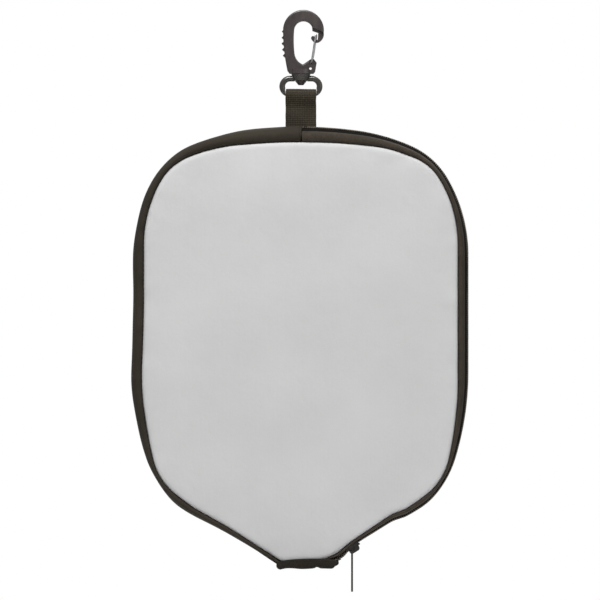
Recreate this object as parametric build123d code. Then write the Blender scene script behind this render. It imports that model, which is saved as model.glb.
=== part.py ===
from build123d import *
from math import cos, radians, sin
import os

# Soft cover for a pickleball paddle, hanging from its snap hook. Millimetres.
# +X is to the right as seen from the front, +Z is up and the front faces -Y.
# The origin is on the swivel's axis, level with the inside top of the hook's eye.

# Case: two neoprene faces, a neoprene wall on the left and a zip on the right.
case_y = -4.4                  # middle plane of the case, in front of the webbing's middle plane
case_half_depth = 10.0
panel_thickness = 3.0
gusset_thickness = 2.6
edge_radius = 6.0              # rounding of the case's outer edges

# Outlines of the right-hand half: tangent arcs (radius, turn in degrees), a straight side,
# tangent arcs again, then a straight run down to the mouth.
rim_top_z = -68.8
rim_upper_arcs = ((268.0, 8.0), (130.0, 16.0), (52.0, 36.0), (100.0, 30.0))
rim_side_length = 76.0
rim_lower_arcs = ((190.0, 17.0), (56.0, 41.2))
face_top_z = -79.2
face_upper_arcs = ((420.0, 6.0), (103.0, 18.0), (34.5, 36.0), (85.0, 30.0))
face_side_length = 90.0
face_lower_arcs = ((171.0, 17.0), (35.5, 39.2))
outline_foot_z = -360.0        # where the rim's two straight runs are closed, below the mouth

mouth_z = -357.1               # lower edge of the mouth
mouth_half_width = 16.5
binding_height = 6.5
binding_thickness = 1.0
rim_foot_z = -351.6            # the wall and the zip end here, at the mouth's corners
seam_binding_width = 3.0
seam_binding_thickness = 0.8
thread = 0.5
thread_proud = 0.4

# Zip
coil_height = 1.8
coil_half_width = 3.0
zip_slit = 1.2                 # the two halves of the chain, simplified to rails with a slit
tape_thickness = 1.0
gusset_end_x = 0.8             # the wall's end closes over the zip's start
slider_x = 33.6                # where the closed slider sits
slider_length = 10.0
slider_half_width = 4.5
plate_thickness = 1.0
slider_gap = 0.35
cap_half_length = 3.6
cap_half_width = 1.5
cap_height = 4.3               # outside of the cap, above the chain
cap_wall = 0.9
cap_side = 0.5                  # side walls of the cap, which the pull's crossbar passes through
pull_pivot_along = -1.8        # the pull's crossbar, along the chain from the slider's middle
pull_pivot_out = 2.4
pull_bar_radius = 0.55
pull_bar_play = 0.15
pull_length = 26.0
pull_half_width = 3.5
pull_thickness = 1.2

# Webbing
webbing_half_width = 10.0
webbing_thickness = 1.3
webbing_join_z = -57.0         # the two legs run together from here down
flex_z = rim_top_z + 1.2       # line on which the webbing bends above the case
flex_gap = 1.2
tail_bend_z = (-72.5, -75.5)   # inside the wall the tail steps back to the rear seam
tail_foot_z = -79.0

# Swivel ring: an oval tube with a socket in the middle of its upper bar
ring_tube_radius = 1.9
ring_end_x = 7.1               # centre of each rounded end
ring_top_bar_z = -37.4
ring_low_bar_z = -47.6
loop_clearance = 0.3
socket_top_z = -34.5
socket_foot_z = -38.7
socket_top_radius = 6.3
socket_foot_radius = 5.0
stud_radius = 3.0
stud_clearance = 0.08
stud_head_radius = 3.95
stud_tip_radius = 1.65
stud_tip_z = -41.7

# Snap hook
hook_half_thickness = 3.2
hook_edge = 1.1
tongue_half_thickness = 0.9
web_half_thickness = 1.2       # ear that the wire gate straddles
collar_radius = 6.65
collar_top_z = -31.2
collar_foot_z = -34.3
rib_size = 1.25
rib_centres = ((-11.2, -6.7), (-11.4, -10.7), (-11.4, -14.6), (-11.1, -18.5), (-10.6, -22.4))
wire_radius = 0.5
wire_leg_y = 2.0
gate_pivot = (6.9, -26.9)
gate_top_z = -8.9
gate_front_top_x = 9.6
gate_back_top_x = 10.3
gate_pin_length = 1.6

big = 500.0
os.makedirs("parts", exist_ok=True)


def save(node, shape):
    """Write one node."""
    export_step(shape, f"parts/{node}.step")


def block(x, y, z):
    """Box between two limits on each axis."""
    size = [limits[1] - limits[0] for limits in (x, y, z)]
    middle = [(limits[0] + limits[1]) / 2 for limits in (x, y, z)]
    return Pos(*middle) * Box(*size)


def outline(top_z, upper_arcs, side_length, lower_arcs, foot_z):
    """Closed face in the XZ plane, from the right-hand half of its outline and its mirror image."""
    edges = []
    point, heading = Vector(0, top_z), Vector(1, 0)
    for radius, turn in upper_arcs:
        edges.append(JernArc(point, heading, radius, -turn))
        point, heading = edges[-1] @ 1, edges[-1] % 1
    edges.append(Line(point, point + heading * side_length))
    point = edges[-1] @ 1
    for radius, turn in lower_arcs:
        edges.append(JernArc(point, heading, radius, -turn))
        point, heading = edges[-1] @ 1, edges[-1] % 1
    foot = point + heading * ((foot_z - point.Y) / heading.Y)
    edges.append(Line(point, foot))
    edges.append(Line(foot, (-foot.X, foot.Y)))
    edges += [edge.mirror(Plane.YZ) for edge in edges[:-1]]
    return Plane.XZ * make_face(Wire(edges))


def prism(face, y):
    """Straight solid of a face in the XZ plane, between two limits on Y."""
    return Pos(0, y[1], 0) * extrude(face, y[1] - y[0])


def rounded(face, half_depth, radius):
    """Straight solid of an outline about the case's middle plane, its long edges rounded."""
    solid = prism(face, (-half_depth, half_depth))
    ends = solid.faces().sort_by(Axis.Y)
    return fillet(ends[0].edges() + ends[-1].edges(), radius)


def in_place(shape):
    """Move a case piece from the case's own middle plane to its place."""
    return Pos(0, case_y, 0) * shape


# ---------------------------------------------------------------- case: outlines and tools
rim_face = outline(rim_top_z, rim_upper_arcs, rim_side_length, rim_lower_arcs, outline_foot_z)
face_outline = outline(face_top_z, face_upper_arcs, face_side_length, face_lower_arcs, rim_foot_z)
tab = Plane.XZ * Pos(0, (mouth_z + rim_foot_z) / 2 + 1.5) * Rectangle(
    2 * mouth_half_width, rim_foot_z - mouth_z + 3 - 2 * binding_thickness
)
panel_face = face_outline + tab
inner_half_depth = case_half_depth - panel_thickness
above_mouth = (rim_foot_z, 0)
left = block((-big, gusset_end_x), (-big, big), above_mouth)
right = block((gusset_end_x, big), (-big, big), above_mouth)
panel_column = prism(panel_face, (-big, big))
tail_slit = block(
    (-webbing_half_width - 0.1, webbing_half_width + 0.1),
    (-case_y - webbing_thickness - 0.05, -case_y + webbing_thickness + 0.05),
    (tail_bend_z[0], 0),
)
binding_top_z = mouth_z + binding_height
below_binding_top = block((-big, big), (-big, big), (mouth_z, binding_top_z))

# ---------------------------------------------------------------- case: faces and wall
lip = (inner_half_depth + binding_thickness, case_half_depth - binding_thickness)
full_panel = prism(panel_face, (inner_half_depth, case_half_depth)) - below_binding_top
back_panel = full_panel + (prism(panel_face, lip) & below_binding_top)
front_panel = back_panel.mirror(Plane.XZ)
save("front_panel", in_place(front_panel))
save("back_panel", in_place(back_panel))

gusset_shell = rounded(rim_face, case_half_depth, edge_radius) - rounded(
    offset(rim_face, -gusset_thickness), inner_half_depth, edge_radius - gusset_thickness
)
side_gusset = (gusset_shell - panel_column - tail_slit) & left
save("side_gusset", in_place(side_gusset))

# ---------------------------------------------------------------- case: zip
tape_shell = rounded(offset(rim_face, -coil_height), case_half_depth, edge_radius) - rounded(
    offset(rim_face, -coil_height - tape_thickness),
    case_half_depth - tape_thickness,
    edge_radius - tape_thickness,
)
zip_tape = (tape_shell - panel_column - tail_slit) & right
coil_band = rim_face - offset(rim_face, -coil_height)
front_half = (-big, -zip_slit / 2)
back_half = (zip_slit / 2, big)
for side, half, rail in (
    ("front", front_half, (-coil_half_width, -zip_slit / 2)),
    ("back", back_half, (zip_slit / 2, coil_half_width)),
):
    save(f"zip_tape_{side}", in_place(zip_tape & block((0, big), half, (-big, 0))))
    save(f"zip_coil_{side}", in_place(prism(coil_band, rail) & right))

# ---------------------------------------------------------------- case: mouth bindings
strip = block(
    (-mouth_half_width, mouth_half_width),
    (inner_half_depth, case_half_depth),
    (mouth_z, binding_top_z),
)
binding = strip - back_panel - side_gusset - zip_tape
save("mouth_binding_back", in_place(binding))
save("mouth_binding_front", in_place(binding.mirror(Plane.XZ)))

# ---------------------------------------------------------------- case: tape over the seams inside
seam_band = face_outline - offset(face_outline, -seam_binding_width)
seam_area = block((-big, big), (-big, big), (binding_top_z + 1, 0))
for side, y in (
    ("front", (-inner_half_depth, -inner_half_depth + seam_binding_thickness)),
    ("back", (inner_half_depth - seam_binding_thickness, inner_half_depth)),
):
    save(f"seam_binding_{side}", in_place(prism(seam_band, y) & seam_area))

# ---------------------------------------------------------------- case: threads
stitch_band = offset(face_outline, thread + 0.2) - offset(face_outline, 0.2)
back_thread = prism(stitch_band, (case_half_depth, case_half_depth + thread_proud)) & seam_area
save("back_seam_thread", in_place(back_thread))
save("front_seam_thread", in_place(back_thread.mirror(Plane.XZ)))

grown_rim = rounded(offset(rim_face, thread_proud), case_half_depth + thread_proud, edge_radius)
thread_skin = grown_rim - rounded(rim_face, case_half_depth, edge_radius) - panel_column
end_slice = block((-2 * thread, -thread), (-big, big), (face_top_z + 1, 0))

on_back = (case_half_depth, case_half_depth + thread_proud)
stitch_z = binding_top_z - 1.2
back_stitches = block((-mouth_half_width + 1, mouth_half_width - 1), on_back, (stitch_z, stitch_z + thread))
save("mouth_thread", in_place(Compound(children=[back_stitches, back_stitches.mirror(Plane.XZ)])))

tack_half = webbing_half_width - 2
tack_z = (tail_foot_z + 0.8, tail_bend_z[1] + 0.2)
strap_tack = block((-tack_half, tack_half), on_back, tack_z) - block(
    (-tack_half + thread, tack_half - thread), on_back, (tack_z[0] + thread, tack_z[1] - thread)
)
save("strap_tack", in_place(strap_tack))
save("gusset_end_thread", in_place((thread_skin - tail_slit - strap_tack) & end_slice))

# ---------------------------------------------------------------- zip slider and its pull
foot_heading = radians(180 - sum(turn for _, turn in rim_upper_arcs + rim_lower_arcs))
along = Vector(cos(foot_heading), 0, sin(foot_heading))
outward = Vector(sin(foot_heading), 0, -cos(foot_heading))
rim_edges = rim_face.edges().filter_by(GeomType.LINE)
run = max(rim_edges, key=lambda edge: (edge.center().X > 1) * edge.length * (edge.center().Z < -300))
run_point = run.center()
slider_origin = run_point + along * ((slider_x - run_point.X) / along.X)
chain = Plane(origin=slider_origin, x_dir=along, z_dir=outward)


def on_chain(x, y, out):
    """Box beside the slider's middle: along the chain, across it and outward from its surface."""
    return in_place(chain * block(x, y, out))


half_length = slider_length / 2
top_out = slider_gap + plate_thickness
under_out = -coil_height - tape_thickness - slider_gap
plate_plan = Polygon(
    (-half_length, -slider_half_width),
    (half_length, -slider_half_width + 0.9),
    (half_length, slider_half_width - 0.9),
    (-half_length, slider_half_width),
    align=None,
)
plate_plan = fillet(plate_plan.vertices(), 1.5)
top_plate = Pos(0, 0, slider_gap) * extrude(plate_plan, plate_thickness)
low_plate = Pos(0, 0, under_out - plate_thickness) * extrude(plate_plan, plate_thickness)
flange_blank = extrude(plate_plan, -coil_height + slider_gap)
flange = Pos(0, 0, slider_gap) * extrude(plate_plan, -coil_height)
channel = block((-big, big), (-coil_half_width - slider_gap, coil_half_width + slider_gap), (-big, big))
post = block(
    (-half_length + 0.6, -half_length + 3.2),
    (-zip_slit / 2 + 0.3, zip_slit / 2 - 0.3),
    (under_out, slider_gap),
)
slider_body = top_plate + low_plate + (flange - channel) + post
save("slider_body", in_place(chain * slider_body))

cap_block = block((-cap_half_length, cap_half_length), (-cap_half_width, cap_half_width), (top_out, cap_height))
cap_block = fillet(cap_block.edges().filter_by(Axis.Y).group_by(Axis.Z)[-1], 1.8)
cap_hollow = block(
    (-cap_half_length + cap_wall, cap_half_length - cap_wall),
    (-cap_half_width + cap_side, cap_half_width - cap_side),
    (top_out, cap_height - cap_wall),
)
cap_hollow = fillet(cap_hollow.edges().filter_by(Axis.Y).group_by(Axis.Z)[-1], 1.0)
bar_hole = Rot(90, 0, 0) * Cylinder(pull_bar_radius + pull_bar_play, 2 * cap_half_width + 1)
bar_hole = Pos(pull_pivot_along, 0, pull_pivot_out) * bar_hole
save("slider_cap", in_place(chain * (cap_block - cap_hollow - bar_hole)))

leaf_out = cap_height - cap_wall - 0.45
leaf = block((-0.4, cap_half_length - cap_wall - 0.4), (-0.9, 0.9), (leaf_out, leaf_out + 0.25))
lock_pin = block((0.6, 1.2), (-0.4, 0.4), (top_out, leaf_out))
save("slider_lock_spring", in_place(chain * (leaf + lock_pin)))

pivot = slider_origin + along * pull_pivot_along + outward * pull_pivot_out
arm_in = cap_half_width + 0.4
crossbar = Rot(90, 0, 0) * Cylinder(pull_bar_radius, 2 * arm_in + 1)
arm_plan = Plane.YZ * (
    Pos(0, -pull_length / 2) * RectangleRounded(2 * pull_half_width, pull_length + 1.2, 1.6)
    - Pos(0, -2.5) * Rectangle(2 * arm_in, 6.2)
    - Pos(0, -pull_length + 4.5) * Circle(1.5)
)
tab_plate = Pos(-pull_thickness / 2, 0, 0) * extrude(arm_plan, pull_thickness)
shoulder = block((-big, big), (-pull_half_width - 1, pull_half_width + 1), (-6, 2))
waist = block((-big, big), (-arm_in - 1, arm_in + 1), (-6, 2))
pull_tab = tab_plate - (shoulder - waist) + crossbar
save("pull_tab", in_place(Pos(*pivot) * pull_tab))

end_tack = on_chain((-12.5, -11), (-coil_half_width, coil_half_width), (0, thread_proud))
save("zip_end_tack", end_tack)
start_skin = prism(offset(rim_face, thread_proud) - rim_face, (-coil_half_width, coil_half_width))
start_slice = block((gusset_end_x + 1.5, gusset_end_x + 3), (-big, big), (-100, 0))
save("zip_start_tack", in_place(start_skin & start_slice))

# ---------------------------------------------------------------- webbing
outer_radius = ring_tube_radius + loop_clearance + webbing_thickness
inner_radius = ring_tube_radius + loop_clearance
strap_foot_z = flex_z + flex_gap


def teardrop(radius, low_points):
    """Half circle over the ring's lower bar, closed below through the given (y, z) points."""
    arc = ThreePointArc((-radius, ring_low_bar_z), (0, ring_low_bar_z + radius), (radius, ring_low_bar_z))
    sides = Polyline((radius, ring_low_bar_z), *low_points, (-radius, ring_low_bar_z))
    return Plane.YZ * make_face(Wire([arc] + sides.edges()))


strap_outside = teardrop(
    outer_radius,
    [
        (webbing_thickness, webbing_join_z),
        (webbing_thickness, strap_foot_z),
        (-webbing_thickness, strap_foot_z),
        (-webbing_thickness, webbing_join_z),
    ],
)
strap_inside = teardrop(inner_radius, [(0, webbing_join_z + 1)])
webbing_loop = Pos(-webbing_half_width, 0, 0) * extrude(strap_outside - strap_inside, 2 * webbing_half_width)
save("webbing_loop", webbing_loop)

step_back = inner_half_depth + case_y - webbing_thickness
tail_side = Polyline(
    (webbing_thickness, flex_z - flex_gap),
    (webbing_thickness, tail_bend_z[0]),
    (webbing_thickness + step_back, tail_bend_z[1]),
    (webbing_thickness + step_back, tail_foot_z),
    (-webbing_thickness + step_back, tail_foot_z),
    (-webbing_thickness + step_back, tail_bend_z[1]),
    (-webbing_thickness, tail_bend_z[0]),
    (-webbing_thickness, flex_z - flex_gap),
    close=True,
)
webbing_tail = extrude(Plane.YZ * make_face(tail_side), 2 * webbing_half_width)
save("webbing_tail", Pos(-webbing_half_width, 0, 0) * webbing_tail)

# ---------------------------------------------------------------- swivel ring
bar = Rot(0, 90, 0) * Cylinder(ring_tube_radius, 2 * ring_end_x)
end_radius = (ring_top_bar_z - ring_low_bar_z) / 2
ring_mid_z = (ring_top_bar_z + ring_low_bar_z) / 2
section = Plane.YZ * Pos(0, end_radius) * Circle(ring_tube_radius)
right_end = Pos(ring_end_x, 0, ring_mid_z) * revolve(section, Axis.Y, 180)
ring = Pos(0, 0, ring_top_bar_z) * bar + Pos(0, 0, ring_low_bar_z) * bar
ring = ring + right_end + right_end.mirror(Plane.YZ)
seat = Rot(0, 90, 0) * (Cylinder(outer_radius + loop_clearance, 2 * webbing_half_width + 0.6) - Cylinder(
    ring_tube_radius, big))
socket_height = socket_top_z - socket_foot_z
socket = Pos(0, 0, (socket_top_z + socket_foot_z) / 2) * Cone(socket_foot_radius, socket_top_radius, socket_height)
bore = Pos(0, 0, (socket_top_z + socket_foot_z) / 2) * Cylinder(stud_radius + stud_clearance, socket_height)
head_room = Pos(0, 0, (socket_foot_z + stud_tip_z) / 2) * Cylinder(
    stud_head_radius + loop_clearance, socket_foot_z - stud_tip_z
)
swivel_ring = ring - Pos(0, 0, ring_low_bar_z) * seat + socket - bore - head_room
save("swivel_ring", swivel_ring)

# ---------------------------------------------------------------- snap hook
crown = ThreePointArc((14.9, -7.7), (1.6, 7.4), (-11.7, -6.0))
spine = TangentArc(crown @ 1, (-8.8, -32.4), tangent=crown % 1)
eye_top = ThreePointArc((7.4, -4.0), (1.6, 0.0), (-4.4, -5.6))
eye_side = TangentArc(eye_top @ 1, (-4.2, -21.0), tangent=eye_top % 1)
eye_foot = TangentArc(eye_side @ 1, (1.4, -28.2), tangent=eye_side % 1)
base = Polyline(
    spine @ 1,
    (-7.4, -34.3),
    (8.2, -34.3),
    (9.3, -33.0),
    (10.3, -27.1),
    (8.5, -24.7),
    (6.2, -24.9),
    eye_foot @ 1,
)
step = Line(eye_top @ 0, crown @ 0)
body_edges = [crown, spine, *base.edges(), eye_foot, eye_side, eye_top, step]
hook_face = Plane.XZ * make_face(Wire(body_edges))
hook = prism(hook_face, (-hook_half_thickness, hook_half_thickness))
hook_ends = hook.faces().sort_by(Axis.Y)
hook = fillet(hook_ends[0].edges() + hook_ends[-1].edges(), hook_edge)

tongue_edges = [
    Line((7.2, -3.4), (7.5, -6.4)),
    Line((7.5, -6.4), (11.3, -7.7)),
    Line((11.3, -7.7), (11.0, -11.6)),
    ThreePointArc((11.0, -11.6), (10.2, -12.3), (9.2, -11.4)),
    ThreePointArc((9.2, -11.4), (7.9, -9.6), (6.7, -11.4)),
    ThreePointArc((6.7, -11.4), (8.3, -13.4), (10.9, -14.1)),
    ThreePointArc((10.9, -14.1), (14.1, -11.6), (14.8, -7.0)),
    Line((14.8, -7.0), (7.2, -3.4)),
]
tongue_face = Plane.XZ * make_face(Wire(tongue_edges))
hook += prism(tongue_face, (-tongue_half_thickness, tongue_half_thickness))

for x, z in rib_centres:
    rib = Rot(0, 45, 0) * Box(rib_size * 2**0.5, 2 * (hook_half_thickness - hook_edge), rib_size * 2**0.5)
    hook += Pos(x, 0, z) * rib
for sign in (-1, 1):
    pocket_y = sorted((sign * web_half_thickness, sign * big))
    hook -= block((5.4, 12), pocket_y, (-28.4, -22))
hook += Pos(0, 0, (collar_top_z + collar_foot_z) / 2) * Cylinder(collar_radius, collar_top_z - collar_foot_z)
stud_foot_z = socket_foot_z - 0.2
hook += Pos(0, 0, (collar_foot_z + stud_foot_z) / 2) * Cylinder(stud_radius, collar_foot_z - stud_foot_z)
hook += Pos(0, 0, (stud_foot_z + stud_tip_z) / 2) * Cone(
    stud_tip_radius, stud_head_radius, stud_foot_z - stud_tip_z
)
hook -= Pos(6.25, 0, -30.9) * Rot(90, 0, 0) * Cylinder(0.9, big)
hook -= Pos(gate_pivot[0], 0, gate_pivot[1]) * Rot(90, 0, 0) * Cylinder(wire_radius + 0.08, big)
save("hook_body", hook)

# ---------------------------------------------------------------- wire gate
pivot_x, pivot_z = gate_pivot
gate_path = FilletPolyline(
    (pivot_x, -wire_leg_y + gate_pin_length, pivot_z),
    (pivot_x, -wire_leg_y, pivot_z),
    (gate_front_top_x, -wire_leg_y, gate_top_z),
    (gate_back_top_x, wire_leg_y, gate_top_z),
    (pivot_x + 1.4, wire_leg_y, pivot_z + 4.5),
    (pivot_x, wire_leg_y, pivot_z),
    (pivot_x, wire_leg_y - gate_pin_length, pivot_z),
    radius=0.6,
)
gate_start = Plane(origin=gate_path @ 0, z_dir=gate_path % 0)
wire_gate = sweep(gate_start * Circle(wire_radius), path=gate_path)
save("wire_gate", wire_gate)
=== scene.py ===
"""Looks of the soft paddle cover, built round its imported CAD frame. Metres; front -Y, up Z."""

from math import cos, pi, radians, sin

import bmesh
import bpy
import numpy as np
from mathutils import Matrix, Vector
from mathutils.geometry import delaunay_2d_cdt


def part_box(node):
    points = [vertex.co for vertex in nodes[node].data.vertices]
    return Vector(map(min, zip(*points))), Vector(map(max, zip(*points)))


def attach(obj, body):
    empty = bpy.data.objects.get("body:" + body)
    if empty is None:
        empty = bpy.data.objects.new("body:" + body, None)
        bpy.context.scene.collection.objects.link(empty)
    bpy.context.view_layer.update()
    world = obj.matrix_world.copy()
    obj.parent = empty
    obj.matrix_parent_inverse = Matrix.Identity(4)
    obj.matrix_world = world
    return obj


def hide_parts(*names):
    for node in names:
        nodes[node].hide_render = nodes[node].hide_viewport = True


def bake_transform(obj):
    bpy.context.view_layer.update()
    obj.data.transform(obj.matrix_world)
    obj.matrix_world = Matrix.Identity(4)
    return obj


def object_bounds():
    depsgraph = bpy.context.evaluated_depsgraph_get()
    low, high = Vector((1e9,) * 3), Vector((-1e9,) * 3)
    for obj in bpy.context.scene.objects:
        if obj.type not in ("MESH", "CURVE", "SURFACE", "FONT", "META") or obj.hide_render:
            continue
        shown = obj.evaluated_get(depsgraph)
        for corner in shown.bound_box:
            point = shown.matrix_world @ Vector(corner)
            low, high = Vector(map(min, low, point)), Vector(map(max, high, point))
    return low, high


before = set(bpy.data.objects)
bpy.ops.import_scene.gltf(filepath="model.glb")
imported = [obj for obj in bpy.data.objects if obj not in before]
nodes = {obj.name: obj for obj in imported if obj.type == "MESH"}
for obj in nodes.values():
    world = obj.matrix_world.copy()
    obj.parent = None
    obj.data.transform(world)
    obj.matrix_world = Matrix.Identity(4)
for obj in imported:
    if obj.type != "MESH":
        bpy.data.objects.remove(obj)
cad_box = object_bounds()
mm = 0.001

# ---- sizes, from the frame
front_low, front_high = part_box("front_panel")
back_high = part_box("back_panel")[1]
wall_low, wall_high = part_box("side_gusset")
loop_low, loop_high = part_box("webbing_loop")
tail_low, tail_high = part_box("webbing_tail")
mouth_low, mouth_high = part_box("mouth_binding_front")

CASE_Y = (front_low.y + back_high.y) / 2
HALF_DEPTH = (back_high.y - front_low.y) / 2
PANEL_THICKNESS = front_high.y - front_low.y
RIM_TOP, RIM_FOOT = wall_high.z, wall_low.z
FACE_TOP = front_high.z
MOUTH = mouth_low.z
BINDING_TOP = mouth_high.z
WALL_END = wall_high.x

# Right-hand half of each outline: (radius in mm, turn in degrees), or (length in mm, 0) where straight.
RIM_RUNS = ((268, 8), (130, 16), (52, 36), (100, 30), (76, 0), (190, 17), (56, 41.2))
FACE_RUNS = ((420, 6), (103, 18), (34.5, 36), (85, 30), (90, 0), (171, 17), (35.5, 39.2))

WALL_THICKNESS = 2.4 * mm
TAPE_THICKNESS = 0.9 * mm
COIL_HEIGHT = 1.8 * mm
COIL_HALF_WIDTH = 3.0 * mm
COIL_PITCH = 1.4 * mm
MONOFILAMENT = 0.31 * mm       # radius
EDGE_ROLL = 3.2 * mm           # width over which a face rolls down into its seam
EDGE_DROP = 2.5 * mm
CROWN = 2.2 * mm               # how far the slack middle of a face stands out
STITCH_PITCH = 3.0 * mm
STITCH_DIP = 0.16 * mm         # how far a stitch pulls the cloth in
# Where the soft case hangs out of true, in mm: (x, z) of the place, its reach, how far it is eased
# and whether the ease is kept off the slider's travel.
SLACK_PLACES = (
    ((74, -318), 24, (1.9, -1.6), True),
    ((28.5, -353), 7, (3.9, -6.0), False),
    ((-72, -317), 22, (-1.7, -1.5), False),
    ((-109, -232), 26, (-1.4, 0.0), False),
)
# Below this height the stretched faces stand further out, and the bands beside them are narrower.
THROAT_START = -255 * mm
THROAT_EASE = 40 * mm
FACE_LET_OUT = 1.25 * mm
SLIDER_REACH = 57.5 * mm       # the chain keeps true up to here, because the slider travels on it
SLIDER_EASE = 10 * mm


# ---- outlines
def travel(length, turn, angle, share):
    """Travel (x, z) along a run, from its start, where the heading is angle clockwise from +X."""
    if not turn:
        return share * length * cos(angle), -share * length * sin(angle)
    radius = length / turn
    end = angle + share * turn
    return radius * (np.sin(end) - sin(angle)), radius * (np.cos(end) - cos(angle))


class Outline:
    """Right-hand half of an outline, from its top centre to its foot."""

    def __init__(self, top, runs, foot, let_out=0.0):
        self.let_out = let_out
        self.runs = [(size * mm * (radians(turn) if turn else 1), radians(turn)) for size, turn in runs]
        self.starts = []
        x, z, angle = 0.0, top, 0.0
        for length, turn in self.runs:
            self.starts.append((x, z, angle))
            dx, dz = travel(length, turn, angle, 1.0)
            x, z, angle = x + dx, z + dz, angle + turn
        self.starts.append((x, z, angle))
        self.runs.append(((z - foot) / sin(angle), 0.0))
        self.ends = np.cumsum([length for length, _ in self.runs])

    def stations(self, step):
        """Evenly spaced places along the outline, each its run's number plus the share of that run."""
        distance = np.linspace(0, self.ends[-1], round(self.ends[-1] / step) + 1)
        number = np.searchsorted(self.ends, distance).clip(0, len(self.runs) - 1)
        starts = np.concatenate([[0], self.ends[:-1]])
        lengths = np.diff(np.concatenate([[0], self.ends]))
        return number + (distance - starts[number]) / lengths[number]

    def trace(self, stations):
        """Points (x, z) and outward normals at the stations."""
        number = np.floor(stations).astype(int).clip(0, len(self.runs) - 1)
        points = np.empty((len(stations), 2))
        normals = np.empty((len(stations), 2))
        for i, (length, turn) in enumerate(self.runs):
            here = number == i
            share = stations[here] - i
            x, z, angle = self.starts[i]
            dx, dz = travel(length, turn, angle, share)
            points[here] = np.stack([x + dx, z + dz], axis=1)
            heading = angle + share * turn
            normals[here] = np.stack([np.sin(heading), np.cos(heading)], axis=1)
        throat = smooth_step((THROAT_START - points[:, 1]) / THROAT_EASE)
        return points + normals * (self.let_out * throat)[:, None], normals


BAND_FOOT = RIM_FOOT - 3.0 * mm  # the bands run on behind the ends of the mouth's bindings
rim = Outline(RIM_TOP, RIM_RUNS, BAND_FOOT)
face = Outline(FACE_TOP, FACE_RUNS, BAND_FOOT, FACE_LET_OUT)


def mirrored(points):
    """Left-hand copy of (x, z) points or normals."""
    return points * np.array([-1.0, 1.0])


def settled(points):
    """Points (x, y, z) eased outwards or inwards where the soft case doesn't hang true."""
    points = np.array(points, float)
    x, z = points[..., 0].copy(), points[..., 2].copy()
    beyond_slider = smooth_step((x - SLIDER_REACH) / SLIDER_EASE)
    for (at_x, at_z), reach, (out_x, out_z), off_slider in SLACK_PLACES:
        ease = np.exp(-((x - at_x * mm) ** 2 + (z - at_z * mm) ** 2) / (reach * mm) ** 2)
        if off_slider:
            ease = ease * beyond_slider
        points[..., 0] += out_x * mm * ease
        points[..., 2] += out_z * mm * ease
    return points


def wave(distance, shortest, longest, seed, count=7):
    """Smooth irregular wave, about -1 to 1, along a distance."""
    draw = np.random.default_rng(seed)
    lengths = draw.uniform(shortest, longest, count)
    phases = draw.uniform(0, 2 * pi, count)
    total = sum(np.sin(2 * pi * distance / length + phase) for length, phase in zip(lengths, phases))
    return total / np.sqrt(count) / 1.4


def smooth_step(value):
    """0 below 0, 1 above 1 and smooth between them."""
    share = np.clip(value, 0, 1)
    return share * share * (3 - 2 * share)


def with_depth(plan, y):
    """Points (x, y, z) from points (x, z) and their depth."""
    return np.stack([plan[..., 0], np.broadcast_to(y, plan.shape[:-1]), plan[..., 1]], axis=-1)


def hump(value, width):
    """1 at 0, falling away smoothly over a width on both sides."""
    return np.exp(-((value / width) ** 2))


def stitch_dips(distance):
    """Depth of the dips that the stitches make along a seam."""
    return STITCH_DIP * (0.5 + 0.5 * np.cos(2 * pi * distance / STITCH_PITCH))


def lengths_along(points, axis):
    """Distance along an array of points on one of its axes, starting from 0."""
    steps = np.linalg.norm(np.diff(points, axis=axis), axis=-1)
    first = np.zeros_like(np.take(steps, [0], axis=axis))
    return np.concatenate([first, np.cumsum(steps, axis=axis)], axis=axis)


def sampled(distances, run, path):
    """Points of a path at some distances along it; run holds the distance of each of its own points."""
    return np.stack([np.interp(distances, run, path[:, axis]) for axis in range(path.shape[1])], axis=1)


def through(points, count, steps=24):
    """A smooth curve of that many points through a few, evenly spaced along it."""
    points = np.array(points, float)
    padded = np.concatenate([[2 * points[0] - points[1]], points, [2 * points[-1] - points[-2]]])
    fine = []
    for a, b, c, d in zip(padded, padded[1:], padded[2:], padded[3:]):
        t = np.linspace(0, 1, steps, endpoint=False)[:, None]
        square = 2 * a - 5 * b + 4 * c - d
        cube = 3 * b - a - 3 * c + d
        fine.append(0.5 * (2 * b + (c - a) * t + square * t**2 + cube * t**3))
    fine = np.concatenate(fine + [points[-1:]])
    run = lengths_along(fine, 0)
    return sampled(np.linspace(0, run[-1], count), run, fine)


# ---- meshes
def new_object(name, vertices, faces, uvs=None):
    """A smooth-shaded mesh object, with its cloth coordinates in metres as a UV map."""
    mesh = bpy.data.meshes.new(name)
    mesh.from_pydata(np.asarray(vertices).tolist(), [], [list(f) for f in faces])
    if uvs is not None:
        layer = mesh.uv_layers.new(name="cloth")
        corners = np.empty(len(mesh.loops), int)
        mesh.loops.foreach_get("vertex_index", corners)
        layer.data.foreach_set("uv", np.asarray(uvs, np.float32)[corners].ravel())
    mesh.shade_smooth()
    obj = bpy.data.objects.new(name, mesh)
    bpy.context.scene.collection.objects.link(obj)
    return obj


def apply_modifiers(obj):
    """Apply the object's modifiers."""
    evaluated = obj.evaluated_get(bpy.context.evaluated_depsgraph_get())
    mesh = bpy.data.meshes.new_from_object(evaluated)
    obj.modifiers.clear()
    old = obj.data
    obj.data = mesh
    bpy.data.meshes.remove(old)


def thickened(obj, thickness, offset):
    """Give a sheet its thickness; offset -1 adds it behind the surface and 1 in front."""
    solid = obj.modifiers.new("thickness", "SOLIDIFY")
    solid.thickness = thickness
    solid.offset = offset
    apply_modifiers(obj)


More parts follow.
